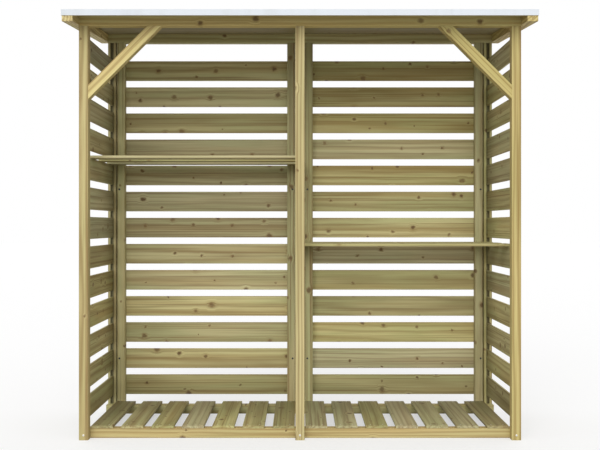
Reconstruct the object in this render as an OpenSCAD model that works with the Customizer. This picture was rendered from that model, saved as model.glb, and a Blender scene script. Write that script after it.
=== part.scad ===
// Open-fronted timber log store: six posts under a pent roof that falls to the front,
// slatted sides and back, a slatted floor and one slatted shelf in each of its two bays.
// Millimetres, +Z up, +Y to the back; the origin is on the ground, under the middle of the roof.

/* [Overall] */
// Width over the outer faces of the corner posts
store_w = 1800; // [1400:10:2400]
// Depth over the front and rear faces of the posts
store_d = 600; // [500:10:900]
// Height of the front posts
front_post_h = 1686; // [1560:2:1900]

/* [Framing timber] */
// Width of a post, seen from the front
post_w = 38; // [32:1:60]
// Depth of a post, front to back
post_d = 40; // [32:1:60]
// Height of a beam at its front face
beam_h = 40; // [30:1:70]
// Height of a floor bearer
bearer_h = 40; // [30:1:50]
// Depth of a floor bearer, front to back
bearer_d = 40; // [30:1:60]
// Width of a back panel's upright batten
batten_w = 36; // [25:1:60]
// Room between a back panel and the posts beside it
panel_clear = 5; // [2:1:10]
// Eased corner along the framing timber
frame_ease = 2; // [0.5:0.5:4]

/* [Slats] */
// Height of a side or back slat
slat_h = 93; // [70:1:100]
// Thickness of a slat
slat_t = 8; // [6:1:10]
// Number of slats in a side or a back panel
slat_count = 13; // [10:1:13]
// Height of the lowest slat's bottom edge
lowest_slat_z = 76; // [66:1:110]
// Room between the highest slat and the front beam
top_slat_clear = 35; // [10:1:60]
// Width of the groove in a corner post that takes the side slats
groove_w = 12; // [11:0.5:16]
// Depth of that groove
groove_depth = 10; // [6:1:15]
// Eased corner along a slat or board
board_ease = 1; // [0.5:0.5:2]

/* [Floor] */
// Width of a floor board
floor_board_w = 90; // [70:1:100]
// Thickness of a floor board
floor_board_t = 11; // [9:1:14]
// Number of floor boards in a bay
floor_board_count = 7; // [5:1:7]
// Room between the floor and the posts beside it
floor_clear = 3; // [1:1:10]

/* [Shelves] */
// Width of a shelf board
shelf_board_w = 92; // [70:1:110]
// Thickness of a shelf board
shelf_board_t = 11; // [9:1:12]
// Number of boards in a shelf
shelf_board_count = 3; // [2:1:3]
// Distance from the front of the posts to the front of a shelf
shelf_setback = 119; // [60:1:140]
// Room between a shelf and the back panel
shelf_back_clear = 2; // [1:1:10]
// Slat that the left shelf rests on, counted from the bottom
left_shelf_slat = 9; // [7:1:9]
// Slat that the right shelf rests on, counted from the bottom
right_shelf_slat = 6; // [4:1:6]
// Height of the bearer between the centre posts that carries a shelf's inner end
shelf_bearer_h = 40; // [25:1:60]
// Room between a shelf's inner end and the middle of the store
shelf_end_clear = 1; // [0.5:0.5:4]

/* [Braces] */
// Width of a corner brace
brace_w = 40; // [25:1:60]
// Length of the corner that a brace closes, along the post and along the beam
brace_leg = 240; // [150:5:400]

/* [Roof] */
// Fall of the roof to the front, in degrees
roof_pitch = 4.5; // [2:0.5:8]
// Overhang of the roof in front of the posts
front_overhang = 107; // [60:1:150]
// Overhang of the roof behind the posts
rear_overhang = 22; // [20:1:60]
// Width of a roof side rail
rail_w = 42; // [30:1:60]
// Height of a roof side rail
rail_h = 36; // [25:1:60]
// Thickness of the roof board
deck_t = 8; // [6:1:12]
// Thickness of the roofing felt
felt_t = 3; // [2:0.5:4]
// Height of the felt's turned-down edge
felt_lip = 24; // [20:1:34]
// Depth of the batten behind the felt's front and rear edges
edge_batten_d = 16; // [10:1:16]

/* [Hidden] */

// Finishes
framing_colour = "#c8b47e";
slat_colour = "#a89a68";
board_colour = "#8a7a52";
felt_colour = "#dfe6ec";

// Front to back
roof_d = front_overhang + store_d + rear_overhang;
roof_front_y = -roof_d / 2;
roof_rear_y = roof_d / 2;
front_y = roof_front_y + front_overhang;
front_post_back_y = front_y + post_d;
rear_y = front_y + store_d;
rear_post_front_y = rear_y - post_d;
clear_d = rear_post_front_y - front_post_back_y;

// Side to side
outer_x = store_w / 2;
post_inner_x = outer_x - post_w;
post_mid_x = outer_x - post_w / 2;
centre_x = post_w / 2;
panel_inner_x = centre_x + panel_clear;
panel_outer_x = post_inner_x - panel_clear;
rail_outer_x = outer_x + rail_w;
felt_outer_x = rail_outer_x + felt_t;

// Slats
slat_pitch = (front_post_h - top_slat_clear - lowest_slat_z - slat_h) / (slat_count - 1);
side_slat_x = post_mid_x - slat_t / 2;
function slat_z(i) = lowest_slat_z + i * slat_pitch;
function slat_top_z(number) = slat_z(number - 1) + slat_h;

// Floor and shelves
floor_inner_x = centre_x + floor_clear;
floor_outer_x = post_inner_x - floor_clear;
floor_pitch = (floor_outer_x - floor_inner_x - floor_board_w) / (floor_board_count - 1);
shelf_front_y = front_y + shelf_setback;
shelf_rear_y = rear_post_front_y - shelf_back_clear;
shelf_pitch = (shelf_rear_y - shelf_front_y - shelf_board_w) / (shelf_board_count - 1);
shelf_outer_x = side_slat_x + slat_t;

// Roof
felt_drop = felt_lip - deck_t - felt_t;
cut_over = 1;
function roof_z(y) = front_post_h + beam_h + (y - front_y) * tan(roof_pitch);
rear_post_h = roof_z(rear_post_front_y) - beam_h;

// Rectangle with eased corners, from the origin
module eased_rect(a, b, ease) {
    polygon([
        [ease, 0], [a - ease, 0], [a, ease], [a, b - ease],
        [a - ease, b], [ease, b], [0, b - ease], [0, ease]
    ]);
}

// Bars of eased timber along X, Y and Z, from their lowest corner
module bar_x(from, length, depth, height, ease) {
    translate(from) rotate([90, 0, 90]) linear_extrude(length) eased_rect(depth, height, ease);
}

module bar_y(from, width, length, height, ease) {
    translate(from + [0, length, 0]) rotate([90, 0, 0]) linear_extrude(length)
        eased_rect(width, height, ease);
}

module bar_z(from, width, depth, length, ease) {
    translate(from) linear_extrude(length) eased_rect(width, depth, ease);
}

// Profile in the YZ plane, drawn from x = x0 over a length
module along_x(x0, length) {
    translate([x0, 0, 0]) rotate([90, 0, 90]) linear_extrude(length) children();
}

// Plumb-cut strip that follows the roof, from one height to another above the roof board's underside
module roof_strip(y0, y1, low, high) {
    polygon([
        [y0, roof_z(y0) + low], [y1, roof_z(y1) + low],
        [y1, roof_z(y1) + high], [y0, roof_z(y0) + high]
    ]);
}

// Posts

// Corner post on the right, with a groove for the side slats from y = groove_y
module corner_post(y, height, groove_y) {
    color(framing_colour) linear_extrude(height) difference() {
        translate([post_inner_x, y]) eased_rect(post_w, post_d, frame_ease);
        translate([post_mid_x - groove_w / 2, groove_y]) square([groove_w, groove_depth]);
    }
}

module front_corner_post() {
    corner_post(front_y, front_post_h, front_post_back_y - groove_depth);
}

module rear_corner_post() {
    corner_post(rear_post_front_y, rear_post_h, rear_post_front_y);
}

module centre_post(y, height) {
    color(framing_colour) bar_z([-centre_x, y, 0], post_w, post_d, height, frame_ease);
}

module front_post_left() { mirror([1, 0, 0]) front_corner_post(); }
module front_post_right() { front_corner_post(); }
module front_post_centre() { centre_post(front_y, front_post_h); }
module rear_post_left() { mirror([1, 0, 0]) rear_corner_post(); }
module rear_post_right() { rear_corner_post(); }
module rear_post_centre() { centre_post(rear_post_front_y, rear_post_h); }

// Beams on the posts, planed on top to the fall of the roof, and the corner braces

module beam(y, seat_z) {
    color(framing_colour) along_x(-outer_x, store_w) polygon([
        [y, seat_z + frame_ease], [y + frame_ease, seat_z],
        [y + post_d - frame_ease, seat_z], [y + post_d, seat_z + frame_ease],
        [y + post_d, roof_z(y + post_d)], [y, roof_z(y)]
    ]);
}

module front_beam() { beam(front_y, front_post_h); }
module rear_beam() { beam(rear_post_front_y, rear_post_h); }

module brace_right() {
    long_leg = brace_leg + brace_w * sqrt(2);
    color(framing_colour) translate([post_inner_x, front_post_back_y, front_post_h])
        rotate([90, 0, 0]) linear_extrude(post_d)
            polygon([[0, -brace_leg], [0, -long_leg], [-long_leg, 0], [-brace_leg, 0]]);
}

module brace_left() { mirror([1, 0, 0]) brace_right(); }

// Side slats, seated on the bottoms of the grooves in the front and rear posts

module side_slats_right() {
    slat_front_y = front_post_back_y - groove_depth;
    color(slat_colour) for (i = [0 : slat_count - 1])
        bar_y([side_slat_x, slat_front_y, slat_z(i)],
            slat_t, clear_d + 2 * groove_depth, slat_h, board_ease);
}

module side_slats_left() { mirror([1, 0, 0]) side_slats_right(); }

// Back panels: slats fixed to the rear of two battens that stand between the posts

module back_slats_right() {
    color(slat_colour) for (i = [0 : slat_count - 1])
        bar_x([panel_inner_x, rear_y, slat_z(i)],
            panel_outer_x - panel_inner_x, slat_t, slat_h, board_ease);
}

module back_batten(x) {
    color(slat_colour) bar_z([x, rear_post_front_y, 0], batten_w, post_d, rear_post_h, frame_ease);
}

module back_slats_left() { mirror([1, 0, 0]) back_slats_right(); }
module back_batten_right_inner() { back_batten(panel_inner_x); }
module back_batten_right_outer() { back_batten(panel_outer_x - batten_w); }
module back_batten_left_inner() { mirror([1, 0, 0]) back_batten_right_inner(); }
module back_batten_left_outer() { mirror([1, 0, 0]) back_batten_right_outer(); }

// Floor: boards from front to back on two bearers that lie between the posts

module floor_bearer(y) {
    color(framing_colour) bar_x([-outer_x, y, 0], store_w, bearer_d, bearer_h, frame_ease);
}

module floor_bearer_front() { floor_bearer(front_post_back_y); }
module floor_bearer_rear() { floor_bearer(rear_post_front_y - bearer_d); }

module floor_boards_right() {
    color(slat_colour) for (i = [0 : floor_board_count - 1])
        bar_y([floor_inner_x + i * floor_pitch, front_post_back_y, bearer_h],
            floor_board_w, clear_d, floor_board_t, board_ease);
}

module floor_boards_left() { mirror([1, 0, 0]) floor_boards_right(); }

// Shelves: boards pushed through a gap in the side slats, with their inner ends on a bearer

module shelf_on_right(slat_number) {
    color(slat_colour) for (i = [0 : shelf_board_count - 1])
        bar_x([shelf_end_clear, shelf_front_y + i * shelf_pitch, slat_top_z(slat_number)],
            shelf_outer_x - shelf_end_clear, shelf_board_w, shelf_board_t, board_ease);
}

module shelf_bearer(slat_number) {
    color(framing_colour)
        bar_y([-centre_x, front_post_back_y, slat_top_z(slat_number) - shelf_bearer_h],
            post_w, clear_d, shelf_bearer_h, frame_ease);
}

module shelf_left() { mirror([1, 0, 0]) shelf_on_right(left_shelf_slat); }
module shelf_right() { shelf_on_right(right_shelf_slat); }
module shelf_bearer_left() { shelf_bearer(left_shelf_slat); }
module shelf_bearer_right() { shelf_bearer(right_shelf_slat); }

// Roof: a board on the beams, stiffened by side rails and edge battens, under a felt cover

module roof_rail_right() {
    color(framing_colour) along_x(outer_x, rail_w)
        roof_strip(roof_front_y + felt_t, roof_rear_y - felt_t, -rail_h, 0);
}

module roof_rail_left() { mirror([1, 0, 0]) roof_rail_right(); }

module roof_edge_batten(y) {
    color(framing_colour) along_x(-outer_x, store_w)
        roof_strip(y, y + edge_batten_d, -felt_drop, 0);
}

module roof_edge_batten_front() { roof_edge_batten(roof_front_y + felt_t); }
module roof_edge_batten_rear() { roof_edge_batten(roof_rear_y - felt_t - edge_batten_d); }

module roof_deck() {
    color(board_colour) along_x(-rail_outer_x, 2 * rail_outer_x)
        roof_strip(roof_front_y + felt_t, roof_rear_y - felt_t, 0, deck_t);
}

module roof_felt() {
    color(felt_colour) difference() {
        along_x(-felt_outer_x, 2 * felt_outer_x)
            roof_strip(roof_front_y, roof_rear_y, -felt_drop, deck_t + felt_t);
        along_x(-rail_outer_x, 2 * rail_outer_x)
            roof_strip(roof_front_y + felt_t, roof_rear_y - felt_t, -felt_drop - cut_over, deck_t);
    }
}

front_post_left();
front_post_right();
front_post_centre();
rear_post_left();
rear_post_right();
rear_post_centre();
front_beam();
rear_beam();
brace_left();
brace_right();
side_slats_left();
side_slats_right();
back_slats_left();
back_slats_right();
back_batten_left_outer();
back_batten_left_inner();
back_batten_right_inner();
back_batten_right_outer();
floor_bearer_front();
floor_bearer_rear();
floor_boards_left();
floor_boards_right();
shelf_left();
shelf_right();
shelf_bearer_left();
shelf_bearer_right();
roof_rail_left();
roof_rail_right();
roof_edge_batten_front();
roof_edge_batten_rear();
roof_deck();
roof_felt();
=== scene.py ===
"""Open-fronted timber log store with slatted walls, two shelves and a felted pent roof."""
import math

import bpy
from mathutils import Euler, Matrix, Vector


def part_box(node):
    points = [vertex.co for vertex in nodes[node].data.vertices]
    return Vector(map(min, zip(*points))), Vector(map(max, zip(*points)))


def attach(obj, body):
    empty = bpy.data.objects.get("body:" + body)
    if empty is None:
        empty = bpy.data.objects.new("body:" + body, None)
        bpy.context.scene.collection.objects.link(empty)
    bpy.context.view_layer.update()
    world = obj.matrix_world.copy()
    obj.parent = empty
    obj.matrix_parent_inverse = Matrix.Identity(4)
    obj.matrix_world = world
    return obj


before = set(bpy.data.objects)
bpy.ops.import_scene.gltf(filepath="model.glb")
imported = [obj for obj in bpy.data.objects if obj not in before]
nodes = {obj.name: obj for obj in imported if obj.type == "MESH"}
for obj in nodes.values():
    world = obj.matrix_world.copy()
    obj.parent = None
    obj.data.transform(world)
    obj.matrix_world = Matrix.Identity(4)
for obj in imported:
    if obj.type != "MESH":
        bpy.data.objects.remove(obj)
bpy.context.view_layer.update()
bpy.ops.object.select_all(action="DESELECT")

# Viewpoint. The photograph looks level and square at the open front,
# from about half the height of the store, 3.7 m from its posts.
LENS_MM = 54.28
SENSOR_MM = 36.0
EYE = (0.0, -3.9375, 0.876)
LEVEL = math.radians(90.0)
view_camera = bpy.data.cameras.new("view_camera")
view_camera.sensor_width = SENSOR_MM
view_camera.lens = LENS_MM
viewpoint = bpy.data.objects.new("viewpoint", view_camera)
viewpoint.location = EYE
viewpoint.rotation_euler = (LEVEL, 0.0, 0.0)
bpy.context.scene.collection.objects.link(viewpoint)
bpy.context.scene.camera = viewpoint
bpy.context.scene.view_settings.view_transform = "Standard"


# Posts. Six planed softwood posts, pressure treated to a pale yellow green, carry the roof.
# The corner posts are grooved for the side slats. The grain of all the timber is made here, as
# growth rings round a pith beside each board, with fibre, knots and the tint of the treatment.
def place(tree, kind, **settings):
    """Add a shader node and set its plain settings."""
    made = tree.nodes.new("ShaderNode" + kind)
    for name, value in settings.items():
        setattr(made, name, value)
    return made


def feed(tree, socket, value):
    """Join a socket to another one, or give it a plain value."""
    if isinstance(value, bpy.types.NodeSocket):
        tree.links.new(value, socket)
    else:
        socket.default_value = value


def calc(tree, operation, first, second=0.0, third=0.0):
    """Work out one number of the pattern."""
    made = place(tree, "Math", operation=operation)
    for socket, value in zip(made.inputs, (first, second, third)):
        feed(tree, socket, value)
    return made.outputs[0]


def fade(tree, value, start, end):
    """Go smoothly from 0 at the start value to 1 at the end value."""
    made = place(tree, "MapRange", interpolation_type="SMOOTHSTEP")
    for socket, number in zip(made.inputs, (value, start, end)):
        feed(tree, socket, number)
    return made.outputs[0]


def tint(tree, amount, under, over):
    """Lay one colour over another by an amount."""
    made = place(tree, "Mix", data_type="RGBA")
    feed(tree, made.inputs[0], amount)
    feed(tree, made.inputs[6], under)
    feed(tree, made.inputs[7], over)
    return made.outputs[2]


def stretched(tree, vector, scales):
    """Scale a pattern's space along its three axes."""
    made = place(tree, "VectorMath", operation="MULTIPLY")
    feed(tree, made.inputs[0], vector)
    made.inputs[1].default_value = scales
    return made.outputs[0]


def cloud(tree, vector, scale=1.0, detail=2.0):
    """Soft noise between 0 and 1."""
    made = place(tree, "TexNoise")
    feed(tree, made.inputs["Vector"], vector)
    made.inputs["Scale"].default_value = scale
    made.inputs["Detail"].default_value = detail
    return made.outputs[0]


def joined(tree, x, y, z):
    """Make a vector of three numbers."""
    made = place(tree, "CombineXYZ")
    for socket, value in zip(made.inputs, (x, y, z)):
        feed(tree, socket, value)
    return made.outputs[0]


def split(tree, vector):
    """Take a vector apart into its three numbers."""
    made = place(tree, "SeparateXYZ")
    feed(tree, made.inputs[0], vector)
    return made.outputs


pine = bpy.data.node_groups.new("pine grain", "ShaderNodeTree")
for socket_name, socket_kind in (
    ("Vector", "NodeSocketVector"),
    ("Board", "NodeSocketFloat"),
    ("Sapwood", "NodeSocketColor"),
    ("Latewood", "NodeSocketColor"),
    ("Heartwood", "NodeSocketColor"),
    ("Treatment", "NodeSocketColor"),
    ("Ring spacing", "NodeSocketFloat"),
    ("Ring depth", "NodeSocketFloat"),
    ("Knots", "NodeSocketFloat"),
    ("Painted shade", "NodeSocketFloat"),
):
    pine.interface.new_socket(name=socket_name, in_out="INPUT", socket_type=socket_kind)
for socket_name, socket_kind in (
    ("Color", "NodeSocketColor"),
    ("Roughness", "NodeSocketFloat"),
    ("Height", "NodeSocketFloat"),
):
    pine.interface.new_socket(name=socket_name, in_out="OUTPUT", socket_type=socket_kind)
given = pine.nodes.new("NodeGroupInput").outputs

# Each board is cut from another place in the log.
LOG_SPREAD = 40.0
chance = place(pine, "TexWhiteNoise", noise_dimensions="1D")
feed(pine, chance.inputs["W"], given["Board"])
luck = split(pine, chance.outputs["Color"])
shift = place(pine, "VectorMath", operation="SCALE")
feed(pine, shift.inputs[0], chance.outputs["Color"])
shift.inputs["Scale"].default_value = LOG_SPREAD
cut = place(pine, "VectorMath", operation="ADD")
feed(pine, cut.inputs[0], given["Vector"])
feed(pine, cut.inputs[1], shift.outputs[0])

# Knots are branches that run through the board, no two alike in outline, and most of them small.
# An edge is the distance at which a mark starts and the one at which it is full, in branch radii.
KNOT_CELLS = 9.0
KNOT_STRETCH = (1.0, 1.1, 0.0)
RAGGED_SCALE = 60.0
RAGGED_REACH = (0.016, 0.016, 0.0)
BRANCH_LEAST = 0.032
BRANCH_RANGE = 0.065
BIG_BRANCH_RARITY = 2.0
DARK_LEAST = 0.30
DARK_RANGE = 0.55
KNOT_EDGE = (1.25, 0.6)
RIM_EDGE = (1.9, 1.0)
PARTING_EDGE = (3.8, 1.0)
ragged = place(pine, "TexNoise")
feed(pine, ragged.inputs["Vector"], cut.outputs[0])
ragged.inputs["Scale"].default_value = RAGGED_SCALE
ragged_shift = place(pine, "VectorMath", operation="MULTIPLY_ADD")
feed(pine, ragged_shift.inputs[0], ragged.outputs["Color"])
ragged_shift.inputs[1].default_value = RAGGED_REACH
feed(pine, ragged_shift.inputs[2], cut.outputs[0])
knot_space = stretched(pine, ragged_shift.outputs[0], KNOT_STRETCH)
branches = place(pine, "TexVoronoi", voronoi_dimensions="2D")
feed(pine, branches.inputs["Vector"], knot_space)
branches.inputs["Scale"].default_value = KNOT_CELLS
branch_luck = split(pine, branches.outputs["Color"])
branch_here = calc(pine, "LESS_THAN", branch_luck[0], given["Knots"])
branch_rank = calc(pine, "POWER", branch_luck[1], BIG_BRANCH_RARITY)
branch_size = calc(pine, "MULTIPLY_ADD", branch_rank, BRANCH_RANGE, BRANCH_LEAST)
branch_dark = calc(pine, "MULTIPLY_ADD", branch_luck[2], DARK_RANGE, DARK_LEAST)
branch_reach = calc(pine, "DIVIDE", branches.outputs["Distance"], branch_size)
knot = calc(pine, "MULTIPLY", branch_here, fade(pine, branch_reach, *KNOT_EDGE))
knot_rim = calc(pine, "MULTIPLY", branch_here, fade(pine, branch_reach, *RIM_EDGE))
knot_round = calc(pine, "MULTIPLY", branch_here, fade(pine, branch_reach, *PARTING_EDGE))

# The rings and the fibre part round a knot.
PARTING = 0.6
branch_across = split(pine, branches.outputs["Position"])[1]
off_branch = calc(pine, "SUBTRACT", split(pine, knot_space)[1], branch_across)
parting = calc(pine, "MULTIPLY", calc(pine, "MULTIPLY", off_branch, knot_round), PARTING)
local = split(pine, given["Vector"])
across_bent = calc(pine, "SUBTRACT", local[1], parting)
bent = place(pine, "VectorMath", operation="ADD")
feed(pine, bent.inputs[0], joined(pine, local[0], across_bent, local[2]))
feed(pine, bent.inputs[1], shift.outputs[0])
fibre_space = bent.outputs[0]


def along_grain(scales, detail=2.0):
    """Soft noise that is drawn out along the fibre of the pine."""
    return cloud(pine, stretched(pine, fibre_space, scales), detail=detail)


# Growth rings are circles round the pith, and they waver along the board.
PITH_SPREAD = 0.120
PITH_NEAR = 0.030
PITH_RANGE = 0.070
WAVER_SCALES = (1.3, 7.0, 7.0)
WAVER_RINGS = 1.8
LATE_NARROWNESS = 2.2
HALF = 0.5
FULL_TURN = 2.0 * math.pi
pith_across = calc(pine, "MULTIPLY", calc(pine, "SUBTRACT", luck[0], HALF), PITH_SPREAD)
pith_depth = calc(pine, "MULTIPLY_ADD", luck[1], PITH_RANGE, PITH_NEAR)
pith_arm = place(pine, "VectorMath", operation="LENGTH")
ring_y = calc(pine, "SUBTRACT", across_bent, pith_across)
ring_z = calc(pine, "ADD", local[2], pith_depth)
feed(pine, pith_arm.inputs[0], joined(pine, 0.0, ring_y, ring_z))
waver = calc(pine, "SUBTRACT", along_grain(WAVER_SCALES), HALF)
ring_count = calc(pine, "DIVIDE", pith_arm.outputs["Value"], given["Ring spacing"])
ring_phase = calc(pine, "MULTIPLY_ADD", waver, WAVER_RINGS, ring_count)
ring_wave = calc(pine, "SINE", calc(pine, "MULTIPLY", ring_phase, FULL_TURN))
late_ring = calc(pine, "POWER", calc(pine, "MULTIPLY_ADD", ring_wave, HALF, HALF), LATE_NARROWNESS)

# Heartwood streaks, dark threads, fine fibre and the uneven soaking of the treatment.
STREAK_SCALES = (0.7, 30.0, 30.0)
STREAK_DETAIL = 3.0
STREAK_EDGE = (0.42, 0.68)
SOAKED_SCALES = (1.6, 12.0, 12.0)
SOAKED_EDGE = (0.38, 0.66)
THREAD_SCALES = (0.9, 130.0, 130.0)
THREAD_EDGE = (0.52, 0.70)
FIBRE_SCALES = (6.0, 420.0, 420.0)
FIBRE_EDGE = (0.48, 0.74)
streak = fade(pine, along_grain(STREAK_SCALES, STREAK_DETAIL), *STREAK_EDGE)
soaked = fade(pine, along_grain(SOAKED_SCALES), *SOAKED_EDGE)
thread = fade(pine, along_grain(THREAD_SCALES), *THREAD_EDGE)
fibre = along_grain(FIBRE_SCALES)
dark_fibre = fade(pine, fibre, *FIBRE_EDGE)

# The colours are laid over the sapwood in turn. Each board has its own tone, with knots on top, and last a
# painted shade where the piece stands in shade.
STREAK_DEPTH = 0.70
SOAKED_DEPTH = 0.55
THREAD_DEPTH = 0.72
FIBRE_DEPTH = 0.30
RIM_DEPTH = 0.55
SATURATION_LEAST = 0.85
SATURATION_RANGE = 0.25
BRIGHTNESS_LEAST = 0.84
BRIGHTNESS_RANGE = 0.30
KNOT_RIM = (0.250, 0.145, 0.055, 1.0)
KNOT_BROWN = (0.110, 0.060, 0.026, 1.0)
PAINTED_SHADE_BROWN = (0.060, 0.052, 0.026, 1.0)
wood = given["Sapwood"]
for mark, depth, wood_kind in (
    (streak, STREAK_DEPTH, "Heartwood"),
    (soaked, SOAKED_DEPTH, "Treatment"),
    (late_ring, given["Ring depth"], "Latewood"),
    (thread, THREAD_DEPTH, "Latewood"),
    (dark_fibre, FIBRE_DEPTH, "Latewood"),
):
    wood = tint(pine, calc(pine, "MULTIPLY", mark, depth), wood, given[wood_kind])
board_saturation = calc(pine, "MULTIPLY_ADD", luck[1], SATURATION_RANGE, SATURATION_LEAST)
board_brightness = calc(pine, "MULTIPLY_ADD", luck[2], BRIGHTNESS_RANGE, BRIGHTNESS_LEAST)
board_tone = place(pine, "HueSaturation")
feed(pine, board_tone.inputs["Saturation"], board_saturation)
feed(pine, board_tone.inputs["Value"], board_brightness)
feed(pine, board_tone.inputs["Color"], wood)
wood = tint(pine, calc(pine, "MULTIPLY", knot_rim, RIM_DEPTH), board_tone.outputs[0], KNOT_RIM)
wood = tint(pine, calc(pine, "MULTIPLY", knot, branch_dark), wood, KNOT_BROWN)
# Painted shade: a dark brown laid over the wood by the amount the material gives, where shade falls.
wood = tint(pine, given["Painted shade"], wood, PAINTED_SHADE_BROWN)

# Late rings, fibre and knots stand up a little, and the fibre roughens the planed face.
PLANED_ROUGHNESS = 0.52
FIBRE_ROUGHNESS = 0.25
RING_RELIEF = 0.5
FIBRE_RELIEF = 0.6
KNOT_RELIEF = 0.4
finished = pine.nodes.new("NodeGroupOutput").inputs
feed(pine, finished["Color"], wood)
feed(pine, finished["Roughness"], calc(pine, "MULTIPLY_ADD", fibre, FIBRE_ROUGHNESS, PLANED_ROUGHNESS))
relief = calc(pine, "MULTIPLY_ADD", late_ring, RING_RELIEF, calc(pine, "MULTIPLY", fibre, FIBRE_RELIEF))
feed(pine, finished["Height"], calc(pine, "MULTIPLY_ADD", knot, KNOT_RELIEF, relief))


def surfaced(tree, colour, roughness, gloss, height, bump_strength, bump_depth):
    """Give a material its colour, its polish and the relief of its face."""
    surface = tree.nodes["Principled BSDF"].inputs
    surface["Specular IOR Level"].default_value = gloss
    feed(tree, surface["Base Color"], colour)
    feed(tree, surface["Roughness"], roughness)
    bump = place(tree, "Bump")
    bump.inputs["Strength"].default_value = bump_strength
    bump.inputs["Distance"].default_value = bump_depth
    feed(tree, bump.inputs["Height"], height)
    feed(tree, surface["Normal"], bump.outputs["Normal"])


PINE_GLOSS = 0.25
PINE_BUMP = 0.35
PINE_BUMP_DEPTH = 0.0006


def pine_cut(name, corners, axes, finish, log_place, count=1, width=0.0, slant=0.0, damp=()):
    """Make the treated pine of one board, or of a row of boards, that fills a box.

    The axes are those along, across and through the board, and a row repeats across it. A place in
    the log picks the grain. A painted shade is a band round a point on an axis, a dark brown painted where
    shade falls: it starts at its reach from the point, is full within its full-shade distance, and is as
    dark as its depth."""
    low, high = (Vector(corner) for corner in corners)
    middle = (low + high) / 2.0
    middle.rotate(Euler((0.0, slant, 0.0)))
    material = bpy.data.materials.new(name + "_pine")
    material.use_nodes = True
    tree = material.node_tree
    turned = place(tree, "Mapping")
    turned.inputs["Rotation"].default_value = (0.0, slant, 0.0)
    feed(tree, turned.inputs["Vector"], place(tree, "TexCoord").outputs["Object"])
    parts = split(tree, turned.outputs["Vector"])
    length, row, depth = ("XYZ".index(axis) for axis in axes)
    board = float(log_place)
    centre = middle[row]
    if count > 1:
        pitch = (high[row] - low[row] - width) / (count - 1)
        first_edge = low[row] - (pitch - width) / 2.0
        steps = calc(tree, "DIVIDE", calc(tree, "SUBTRACT", parts[row], first_edge), pitch)
        place_in_row = calc(tree, "FLOOR", steps)
        board = calc(tree, "ADD", place_in_row, board)
        centre = calc(tree, "MULTIPLY_ADD", place_in_row, pitch, low[row] + width / 2.0)
    across = calc(tree, "SUBTRACT", parts[row], centre)
    through = calc(tree, "SUBTRACT", parts[depth], middle[depth])
    # Painted shade: each band darkens the wood where shade falls, and the darkest band wins.
    painted_shade_amount = 0.0
    for band in damp:
        away = calc(tree, "SUBTRACT", parts["XYZ".index(band["axis"])], band["point"])
        shade_strength = fade(tree, calc(tree, "ABSOLUTE", away), band["reach"], band["full_shade"])
        painted_shade_amount = calc(tree, "MAXIMUM", painted_shade_amount, calc(tree, "MULTIPLY", shade_strength, band["depth"]))
    grain = place(tree, "Group", node_tree=pine)
    feed(tree, grain.inputs["Vector"], joined(tree, parts[length], across, through))
    feed(tree, grain.inputs["Board"], board)
    feed(tree, grain.inputs["Painted shade"], painted_shade_amount)
    for socket_name, value in finish.items():
        feed(tree, grain.inputs[socket_name], value)
    made = grain.outputs
    surfaced(tree, made["Color"], made["Roughness"], PINE_GLOSS, made["Height"], PINE_BUMP, PINE_BUMP_DEPTH)
    return material


def timber(name, axes, finish, log_place, **cutting):
    """Give a CAD piece its own cut of treated pine."""
    material = pine_cut(name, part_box(name), axes, finish, log_place, **cutting)
    for material_slot in nodes[name].material_slots:
        material_slot.material = material


# The rear posts are painted darker and greener than the front ones as painted shade, most of all along their
# grooves.
FRAMING = {
    "Sapwood": (0.760, 0.630, 0.265, 1.0),
    "Latewood": (0.340, 0.210, 0.062, 1.0),
    "Heartwood": (0.560, 0.400, 0.135, 1.0),
    "Treatment": (0.620, 0.560, 0.215, 1.0),
    "Ring spacing": 0.013,
    "Ring depth": 0.62,
    "Knots": 0.34,
}
# A darker, greener copy of the framing: painted shade for the rear posts, the rear bearer and the rear beam.
SHADED_REAR_FRAMING = {
    "Sapwood": (0.560, 0.500, 0.245, 1.0),
    "Latewood": (0.260, 0.175, 0.064, 1.0),
    "Heartwood": (0.420, 0.310, 0.122, 1.0),
    "Treatment": (0.410, 0.425, 0.190, 1.0),
    "Ring spacing": 0.013,
    "Ring depth": 0.50,
    "Knots": 0.30,
}
POST_NAMES = (
    "front_post_left",
    "front_post_centre",
    "front_post_right",
    "rear_post_left",
    "rear_post_centre",
    "rear_post_right",
)
POSTS_FROM = 11
GROOVE_X = 0.881
# Painted shade in a band along the groove of each rear corner post.
GROOVE_PAINTED_SHADE = {"axis": "X", "reach": 0.010, "full_shade": 0.006, "depth": 0.75}
POST_PAINTED_SHADE = {
    "rear_post_left": (dict(GROOVE_PAINTED_SHADE, point=-GROOVE_X),),
    "rear_post_right": (dict(GROOVE_PAINTED_SHADE, point=GROOVE_X),),
}
for log_place, post_name in enumerate(POST_NAMES, start=POSTS_FROM):
    post_finish = FRAMING if post_name.startswith("front") else SHADED_REAR_FRAMING
    timber(post_name, "ZXY", post_finish, log_place, damp=POST_PAINTED_SHADE.get(post_name, ()))

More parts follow.
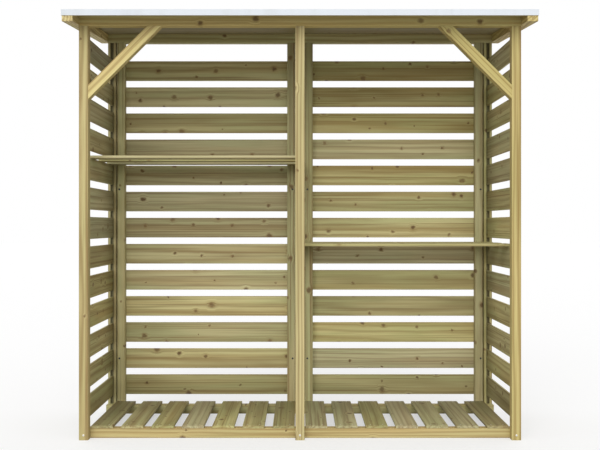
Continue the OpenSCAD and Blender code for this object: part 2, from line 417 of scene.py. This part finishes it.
# Floor. Fourteen planed boards lie front to back, with gaps between them for air, on two square
# bearers that lie on the ground just inside the posts. The boards have painted shade towards the rear, and
# the rear bearer takes the darker framing copy as painted shade.
SLATTING = {
    "Sapwood": (0.580, 0.520, 0.265, 1.0),
    "Latewood": (0.250, 0.170, 0.065, 1.0),
    "Heartwood": (0.420, 0.310, 0.125, 1.0),
    "Treatment": (0.420, 0.445, 0.205, 1.0),
    "Ring spacing": 0.018,
    "Ring depth": 0.45,
    "Knots": 0.76,
}
BEARING = dict(FRAMING, Sapwood=(0.600, 0.495, 0.205, 1.0), Treatment=(0.500, 0.450, 0.175, 1.0))
FLOOR_BOARDS = 7
FLOOR_BOARD_W = 0.090
FLOOR_PAINTED_SHADE = ({"axis": "Y", "point": 0.3025, "reach": 0.515, "full_shade": 0.100, "depth": 0.34},)
FLOOR_ROW = {"count": FLOOR_BOARDS, "width": FLOOR_BOARD_W, "damp": FLOOR_PAINTED_SHADE}
timber("floor_bearer_front", "XZY", BEARING, log_place=21)
timber("floor_bearer_rear", "XZY", SHADED_REAR_FRAMING, log_place=22)
timber("floor_boards_left", "YXZ", SLATTING, log_place=500, **FLOOR_ROW)
timber("floor_boards_right", "YXZ", SLATTING, log_place=520, **FLOOR_ROW)

# Sides. Thirteen thin slats a side slide into the grooves of the corner posts, with a gap of a third
# of their width between them for air. They have painted shade at their rear ends and near the ground.
WALL_SLATS = 13
SLAT_W = 0.093
SIDE_PAINTED_SHADE = (
    {"axis": "Y", "point": 0.3125, "reach": 0.260, "full_shade": 0.012, "depth": 0.40},
    {"axis": "Z", "point": 0.0, "reach": 0.260, "full_shade": 0.080, "depth": 0.25},
)
SIDE_ROW = {"count": WALL_SLATS, "width": SLAT_W, "damp": SIDE_PAINTED_SHADE}
timber("side_slats_left", "YZX", SLATTING, log_place=100, **SIDE_ROW)
timber("side_slats_right", "YZX", SLATTING, log_place=120, **SIDE_ROW)

# Back. Two panels of thirteen slats, each nailed from behind to a pair of upright battens,
# stand between the rear posts. The lowest slats have painted shade near the ground.
BATTEN_NAMES = (
    "back_batten_left_outer",
    "back_batten_left_inner",
    "back_batten_right_inner",
    "back_batten_right_outer",
)
BATTENS_FROM = 31
BACK_PAINTED_SHADE = ({"axis": "Z", "point": 0.0, "reach": 0.300, "full_shade": 0.080, "depth": 0.42},)
BACK_ROW = {"count": WALL_SLATS, "width": SLAT_W, "damp": BACK_PAINTED_SHADE}
timber("back_slats_left", "XZY", SLATTING, log_place=200, **BACK_ROW)
timber("back_slats_right", "XZY", SLATTING, log_place=220, **BACK_ROW)
for log_place, batten_name in enumerate(BATTEN_NAMES, start=BATTENS_FROM):
    timber(batten_name, "ZXY", SLATTING, log_place)

# Packing strips. A thin strip fills the space between the rear centre post and the inner batten of
# each panel, so that no light shows beside the post. It is a sawn lath, eased along its edges.
STRIP_FIT = 0.0003
STRIP_END = 0.0010
STRIP_EASE = 0.0006
STRIP_EASE_STEPS = 2
STRIPS_FROM = 35
SMOOTH_ANGLE = math.radians(40.0)
centre_low, centre_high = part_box("rear_post_centre")
for log_place, (strip_name, batten_name) in enumerate((
    ("packing_strip_left", "back_batten_left_inner"),
    ("packing_strip_right", "back_batten_right_inner"),
), start=STRIPS_FROM):
    batten_low, batten_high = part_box(batten_name)
    if batten_high[0] < 0.0:
        strip_edges = (batten_high[0], centre_low[0])
    else:
        strip_edges = (centre_high[0], batten_low[0])
    strip_low = Vector((strip_edges[0] + STRIP_FIT, batten_low[1], STRIP_END))
    strip_high = Vector((strip_edges[1] - STRIP_FIT, batten_high[1], centre_high[2] - STRIP_END))
    bpy.ops.object.select_all(action="DESELECT")
    bpy.ops.mesh.primitive_cube_add(size=1.0)
    strip = bpy.context.object
    strip.name = strip_name
    bpy.ops.object.mode_set(mode="EDIT")
    bpy.ops.transform.resize(value=tuple(strip_high - strip_low))
    bpy.ops.transform.translate(value=tuple((strip_low + strip_high) / 2.0))
    bpy.ops.mesh.bevel(offset=STRIP_EASE, segments=STRIP_EASE_STEPS, affect="EDGES")
    bpy.ops.object.mode_set(mode="OBJECT")
    bpy.ops.object.shade_smooth_by_angle(angle=SMOOTH_ANGLE)
    strip.data.materials.append(pine_cut(strip_name, (strip_low, strip_high), "ZXY", SLATTING, log_place))
    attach(strip, "root")

# Shelves. Three boards a side rest on the top edges of the side slats at their outer ends,
# and on a bearer between the centre posts at their inner ends. The left shelf is the higher one.
SHELF_BOARDS = 3
SHELF_BOARD_W = 0.092
SHELF_ROW = {"count": SHELF_BOARDS, "width": SHELF_BOARD_W}
timber("shelf_left", "XYZ", SLATTING, log_place=300, **SHELF_ROW)
timber("shelf_right", "XYZ", SLATTING, log_place=320, **SHELF_ROW)
timber("shelf_bearer_left", "YZX", FRAMING, log_place=41)
timber("shelf_bearer_right", "YZX", FRAMING, log_place=42)

# Beams and braces. A beam lies on the front posts and one on the rear posts, each planed on top
# to the fall of the roof. Two short braces cut at 45 degrees stiffen the front corners.
BRACE_SLANT = math.radians(45.0)
# The front beam, under the roof's overhang, takes a lighter copy of the framing as painted light; the rear
# beam takes the darker copy as painted shade.
BEAM_PAINTED_LIGHT = dict(FRAMING, Latewood=(0.520, 0.370, 0.125, 1.0), Heartwood=(0.660, 0.500, 0.180, 1.0))
timber("front_beam", "XZY", BEAM_PAINTED_LIGHT, log_place=51)
timber("rear_beam", "XZY", SHADED_REAR_FRAMING, log_place=52)
timber("brace_left", "XZY", FRAMING, log_place=53, slant=BRACE_SLANT)
timber("brace_right", "XZY", FRAMING, log_place=54, slant=-BRACE_SLANT)

# Roof boards. A thin deck lies on the beams and on a rail over each side, with a light batten
# under its front and rear edges.
DECKING = {
    "Sapwood": (0.420, 0.345, 0.170, 1.0),
    "Latewood": (0.230, 0.160, 0.065, 1.0),
    "Heartwood": (0.330, 0.250, 0.110, 1.0),
    "Treatment": (0.320, 0.310, 0.150, 1.0),
    "Ring spacing": 0.030,
    "Ring depth": 0.50,
    "Knots": 0.30,
}
timber("roof_rail_left", "YZX", FRAMING, log_place=61)
timber("roof_rail_right", "YZX", FRAMING, log_place=62)
timber("roof_edge_batten_front", "XZY", FRAMING, log_place=63)
timber("roof_edge_batten_rear", "XZY", FRAMING, log_place=64)
timber("roof_deck", "XYZ", DECKING, log_place=65)

# Roof covering. One sheet of pale mineral felt covers the deck and is turned down over its edges.
# Its face is pressed full of fine stone grit, and rain has left faint streaks down the fall.
FELT_PALE = (0.780, 0.820, 0.865, 1.0)
FELT_GRIT = (0.600, 0.640, 0.690, 1.0)
FELT_STAIN = (0.660, 0.690, 0.700, 1.0)
GRIT_SCALE = 700.0
GRIT_EDGE = (0.56, 0.72)
RAIN_SCALES = (16.0, 1.4, 1.4)
RAIN_DETAIL = 3.0
RAIN_EDGE = (0.48, 0.76)
RAIN_DEPTH = 0.45
FELT_ROUGHNESS = 0.78
GRIT_ROUGHNESS = 0.2
FELT_GLOSS = 0.2
FELT_BUMP = 0.5
FELT_BUMP_DEPTH = 0.0008
felt = bpy.data.materials.new("mineral_felt")
felt.use_nodes = True
felt_tree = felt.node_tree
felt_place = place(felt_tree, "TexCoord").outputs["Object"]
grit = cloud(felt_tree, felt_place, GRIT_SCALE)
rain = cloud(felt_tree, stretched(felt_tree, felt_place, RAIN_SCALES), detail=RAIN_DETAIL)
felt_colour = tint(felt_tree, fade(felt_tree, grit, *GRIT_EDGE), FELT_PALE, FELT_GRIT)
rain_amount = calc(felt_tree, "MULTIPLY", fade(felt_tree, rain, *RAIN_EDGE), RAIN_DEPTH)
felt_colour = tint(felt_tree, rain_amount, felt_colour, FELT_STAIN)
felt_roughness = calc(felt_tree, "MULTIPLY_ADD", grit, GRIT_ROUGHNESS, FELT_ROUGHNESS)
surfaced(felt_tree, felt_colour, felt_roughness, FELT_GLOSS, grit, FELT_BUMP, FELT_BUMP_DEPTH)
for felt_slot in nodes["roof_felt"].material_slots:
    felt_slot.material = felt

# Post screws. A zinc-plated screw goes through the foot of each post into the side of the bearer.
# One head is modelled as a disc, domed by insets and sunk in the middle, and copied to each post.
ZINC = (0.700, 0.690, 0.640, 1.0)
ZINC_ROUGHNESS = 0.22
HAZE_SCALE = 350.0
HAZE_ROUGHNESS = 0.3
FACES_UP = 0.9
SCREW_RADIUS = 0.0042
SCREW_PROUD = 0.0008
SCREW_SIDES = 12
SCREW_INSETS = ((0.0009, 0.0004), (0.0012, 0.0001), (0.0005, -0.0008))
FORWARD = (0.0, -1.0, 0.0)
BACKWARD = (0.0, 1.0, 0.0)


def fixing_metal(name, colour, metallic, roughness):
    """Make the metal of a fixing, with a hazy polish."""
    metal = bpy.data.materials.new(name)
    metal.use_nodes = True
    tree = metal.node_tree
    haze = cloud(tree, place(tree, "TexCoord").outputs["Object"], HAZE_SCALE)
    surface = tree.nodes["Principled BSDF"].inputs
    surface["Base Color"].default_value = colour
    surface["Metallic"].default_value = metallic
    feed(tree, surface["Roughness"], calc(tree, "MULTIPLY_ADD", haze, HAZE_ROUGHNESS, roughness))
    return metal


def pick_faces(piece, wanted):
    """Go into edit mode with only the wanted faces selected."""
    bpy.ops.object.mode_set(mode="EDIT")
    bpy.ops.mesh.select_mode(type="FACE")
    bpy.ops.mesh.select_all(action="DESELECT")
    bpy.ops.object.mode_set(mode="OBJECT")
    for face in piece.data.polygons:
        face.select = wanted(face)
    bpy.ops.object.mode_set(mode="EDIT")


def fixing_head(name, metal, radius, proud, sides, insets):
    """Model one round head that faces up, half sunk in the wood, with its rings of insets."""
    bpy.ops.object.select_all(action="DESELECT")
    bpy.ops.mesh.primitive_cylinder_add(vertices=sides, radius=radius, depth=2.0 * proud)
    head = bpy.context.object
    head.name = name
    pick_faces(head, lambda face: face.normal.z > FACES_UP)
    for thickness, rise in insets:
        bpy.ops.mesh.inset(thickness=thickness, depth=rise)
    bpy.ops.object.mode_set(mode="OBJECT")
    bpy.ops.object.shade_smooth_by_angle(angle=SMOOTH_ANGLE)
    head.data.materials.append(metal)
    return head


def drive(name, head, places):
    """Copy a head to each place, facing its way, and join the copies into one piece."""
    copies = []
    for spot, facing in places:
        turn = Vector((0.0, 0.0, 1.0)).rotation_difference(Vector(facing)).to_matrix().to_4x4()
        mesh = head.data.copy()
        mesh.transform(Matrix.Translation(spot) @ turn)
        copy = bpy.data.objects.new(name, mesh)
        bpy.context.scene.collection.objects.link(copy)
        copies.append(copy)
    bpy.ops.object.select_all(action="DESELECT")
    for copy in copies:
        copy.select_set(True)
    bpy.context.view_layer.objects.active = copies[0]
    bpy.ops.object.join()
    copies[0].name = name
    bpy.data.objects.remove(head)
    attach(copies[0], "root")


zinc = fixing_metal("zinc_plate", ZINC, 1.0, ZINC_ROUGHNESS)
screw_head = fixing_head("screw_head", zinc, SCREW_RADIUS, SCREW_PROUD, SCREW_SIDES, SCREW_INSETS)
screw_places = []
bearer_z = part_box("floor_bearer_front")[1][2] / 2.0
for post_name in POST_NAMES:
    post_low, post_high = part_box(post_name)
    post_x = (post_low[0] + post_high[0]) / 2.0
    if post_name.startswith("front"):
        screw_places.append(((post_x, post_low[1], bearer_z), FORWARD))
    else:
        screw_places.append(((post_x, post_high[1], bearer_z), BACKWARD))
drive("post_screws", screw_head, screw_places)

# Panel screws. Two blackened screws through each batten hold the back panels to the rear posts,
# driven on the slant beside the post so that their heads lie near the batten's edge.
BLACKED = (0.030, 0.027, 0.024, 1.0)
BLACKED_ROUGHNESS = 0.40
PANEL_SCREW_RADIUS = 0.0045
PANEL_SCREW_HEIGHTS = (0.251, 1.043)
PANEL_SCREW_EDGE = 0.0105
POST_ON_LEFT = ("back_batten_left_outer", "back_batten_right_inner")
blacked = fixing_metal("blacked_steel", BLACKED, 0.0, BLACKED_ROUGHNESS)
panel_screw = fixing_head("panel_screw", blacked, PANEL_SCREW_RADIUS, SCREW_PROUD, SCREW_SIDES, SCREW_INSETS)
panel_places = []
for batten_name in BATTEN_NAMES:
    batten_low, batten_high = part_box(batten_name)
    if batten_name in POST_ON_LEFT:
        screw_x = batten_low[0] + PANEL_SCREW_EDGE
    else:
        screw_x = batten_high[0] - PANEL_SCREW_EDGE
    for screw_z in PANEL_SCREW_HEIGHTS:
        panel_places.append(((screw_x, batten_low[1], screw_z), FORWARD))
drive("panel_screws", panel_screw, panel_places)

# Board nails. Small flat heads hold each floor board to its bearers, two at each end,
# and each shelf board to the bearer at its inner end.
NAIL_RADIUS = 0.0026
NAIL_PROUD = 0.0005
NAIL_SIDES = 8
NAIL_INSETS = ((0.0007, 0.0003),)
NAIL_APART = 0.050
SHELF_NAIL_X = 0.010
UPWARD = (0.0, 0.0, 1.0)


def row_middles(low, high, width, count):
    """Find the middles of a row of equal boards between two edges."""
    pitch = (high - low - width) / (count - 1)
    return [low + width / 2.0 + number * pitch for number in range(count)]


def nail_pair(middle):
    """Set two nails apart about the middle of a board."""
    return (middle - NAIL_APART / 2.0, middle + NAIL_APART / 2.0)


nail_head = fixing_head("nail_head", zinc, NAIL_RADIUS, NAIL_PROUD, NAIL_SIDES, NAIL_INSETS)
nail_places = []
bearer_rows = []
for bearer_name in ("floor_bearer_front", "floor_bearer_rear"):
    bearer_low, bearer_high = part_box(bearer_name)
    bearer_rows.append((bearer_low[1] + bearer_high[1]) / 2.0)
for floor_name in ("floor_boards_left", "floor_boards_right"):
    floor_low, floor_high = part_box(floor_name)
    for board_x in row_middles(floor_low[0], floor_high[0], FLOOR_BOARD_W, FLOOR_BOARDS):
        for nail_y in bearer_rows:
            for nail_x in nail_pair(board_x):
                nail_places.append(((nail_x, nail_y, floor_high[2]), UPWARD))
for shelf_name, nail_x in (("shelf_left", -SHELF_NAIL_X), ("shelf_right", SHELF_NAIL_X)):
    shelf_low, shelf_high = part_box(shelf_name)
    for board_y in row_middles(shelf_low[1], shelf_high[1], SHELF_BOARD_W, SHELF_BOARDS):
        for nail_y in nail_pair(board_y):
            nail_places.append(((nail_x, nail_y, shelf_high[2]), UPWARD))
drive("board_nails", nail_head, nail_places)

# Slat nails and side pins. The back slats are nailed from behind, two nails at each batten, and the
# side slats are held in their grooves by one pin at each end, driven through the post from outside.
PIN_RADIUS = 0.0018
PIN_PROUD = 0.0004
PIN_INSETS = ((0.0005, 0.0002),)
LEFTWARD = (-1.0, 0.0, 0.0)
RIGHTWARD = (1.0, 0.0, 0.0)
slat_nail = fixing_head("slat_nail", zinc, NAIL_RADIUS, NAIL_PROUD, NAIL_SIDES, NAIL_INSETS)
slat_places = []
slat_low, slat_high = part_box("back_slats_left")
slat_middles = row_middles(slat_low[2], slat_high[2], SLAT_W, WALL_SLATS)
for batten_name in BATTEN_NAMES:
    batten_low, batten_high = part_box(batten_name)
    batten_x = (batten_low[0] + batten_high[0]) / 2.0
    for slat_z in slat_middles:
        for nail_z in nail_pair(slat_z):
            slat_places.append(((batten_x, slat_high[1], nail_z), BACKWARD))
drive("back_slat_nails", slat_nail, slat_places)
side_pin = fixing_head("side_pin", zinc, PIN_RADIUS, PIN_PROUD, NAIL_SIDES, PIN_INSETS)
pin_places = []
for post_name in ("front_post_left", "rear_post_left", "front_post_right", "rear_post_right"):
    post_low, post_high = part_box(post_name)
    post_y = (post_low[1] + post_high[1]) / 2.0
    if post_name.endswith("left"):
        outer_x = post_low[0]
        facing = LEFTWARD
    else:
        outer_x = post_high[0]
        facing = RIGHTWARD
    for slat_z in slat_middles:
        pin_places.append(((outer_x, post_y, slat_z), facing))
drive("side_slat_pins", side_pin, pin_places)

# Felt nails. Broad flat clout heads hold the turned-down felt to the rails at the sides
# and to the batten at the rear. They follow the fall of the roof, at the middle of the felt's lip.
CLOUT_RADIUS = 0.0050
CLOUT_PROUD = 0.0006
CLOUT_SIDES = 10
CLOUT_INSETS = ((0.0014, 0.0003),)
CLOUT_STEP = 0.115
FELT_LIP = 0.024
ROOF_FALL = math.tan(math.radians(4.5))
clout_head = fixing_head("clout_head", zinc, CLOUT_RADIUS, CLOUT_PROUD, CLOUT_SIDES, CLOUT_INSETS)
felt_low, felt_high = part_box("roof_felt")
rear_lip_z = felt_high[2] - FELT_LIP / 2.0
clout_places = []
side_clouts = int((felt_high[1] - felt_low[1]) / CLOUT_STEP)
for number in range(side_clouts):
    clout_y = felt_low[1] + CLOUT_STEP / 2.0 + number * CLOUT_STEP
    clout_z = rear_lip_z - (felt_high[1] - clout_y) * ROOF_FALL
    clout_places.append(((felt_low[0], clout_y, clout_z), LEFTWARD))
    clout_places.append(((felt_high[0], clout_y, clout_z), RIGHTWARD))
rear_clouts = int((felt_high[0] - felt_low[0]) / CLOUT_STEP)
for number in range(rear_clouts):
    clout_x = (number - (rear_clouts - 1) / 2.0) * CLOUT_STEP
    clout_places.append(((clout_x, felt_high[1], rear_lip_z), BACKWARD))
drive("felt_clouts", clout_head, clout_places)

# Studio. A pale floor that keeps the shadow, even light from all round, and one broad soft lamp
# in front and above. The floor and the surround look white to the camera and in reflections.
WHITE = (1.0, 1.0, 1.0, 1.0)
FLOOR_SIZE = 80.0
FLOOR_SEEN = (0.420, 0.420, 0.420, 1.0)
FLOOR_LIT = (0.450, 0.450, 0.450, 1.0)
FLOOR_GLOW = 0.55
FLOOR_ROUGHNESS = 0.9
FLOOR_GLOSS = 0.1
SURROUND = 0.82
LAMP_STRENGTH = 1.40
LAMP_HEIGHT = math.radians(27.0)
LAMP_ASIDE = math.radians(8.0)
LAMP_SPREAD = math.radians(50.0)


def seen_white(tree):
    """One for the rays that show the surround, and nothing for those that light the store."""
    rays = place(tree, "LightPath").outputs
    shiny = calc(tree, "MAXIMUM", rays["Is Glossy Ray"], rays["Is Transmission Ray"])
    return calc(tree, "MAXIMUM", rays["Is Camera Ray"], shiny)


bpy.ops.object.select_all(action="DESELECT")
bpy.ops.mesh.primitive_plane_add(size=FLOOR_SIZE, location=(0.0, 0.0, 0.0))
ground = bpy.context.object
ground.name = "ground"
ground_paint = bpy.data.materials.new("ground_paint")
ground_paint.use_nodes = True
ground_tree = ground_paint.node_tree
ground_surface = ground_tree.nodes["Principled BSDF"]
ground_surface.inputs["Roughness"].default_value = FLOOR_ROUGHNESS
ground_surface.inputs["Specular IOR Level"].default_value = FLOOR_GLOSS
ground_seen = seen_white(ground_tree)
ground_colour = tint(ground_tree, ground_seen, FLOOR_LIT, FLOOR_SEEN)
feed(ground_tree, ground_surface.inputs["Base Color"], ground_colour)
ground_surface.inputs["Emission Color"].default_value = WHITE
ground_glow = calc(ground_tree, "MULTIPLY", ground_seen, FLOOR_GLOW)
feed(ground_tree, ground_surface.inputs["Emission Strength"], ground_glow)
ground.data.materials.append(ground_paint)

surround = bpy.data.worlds.new("surround")
surround.use_nodes = True
bpy.context.scene.world = surround
sky_tree = surround.node_tree
sky = sky_tree.nodes["Background"]
sky.inputs["Color"].default_value = WHITE
sky_strength = calc(sky_tree, "MULTIPLY_ADD", seen_white(sky_tree), 1.0 - SURROUND, SURROUND)
feed(sky_tree, sky.inputs["Strength"], sky_strength)

lamp = bpy.data.lights.new("front_lamp", "SUN")
lamp.energy = LAMP_STRENGTH
lamp.angle = LAMP_SPREAD
lamp_stand = bpy.data.objects.new("front_lamp", lamp)
lamp_stand.rotation_euler = (LEVEL - LAMP_HEIGHT, 0.0, -LAMP_ASIDE)
bpy.context.scene.collection.objects.link(lamp_stand)
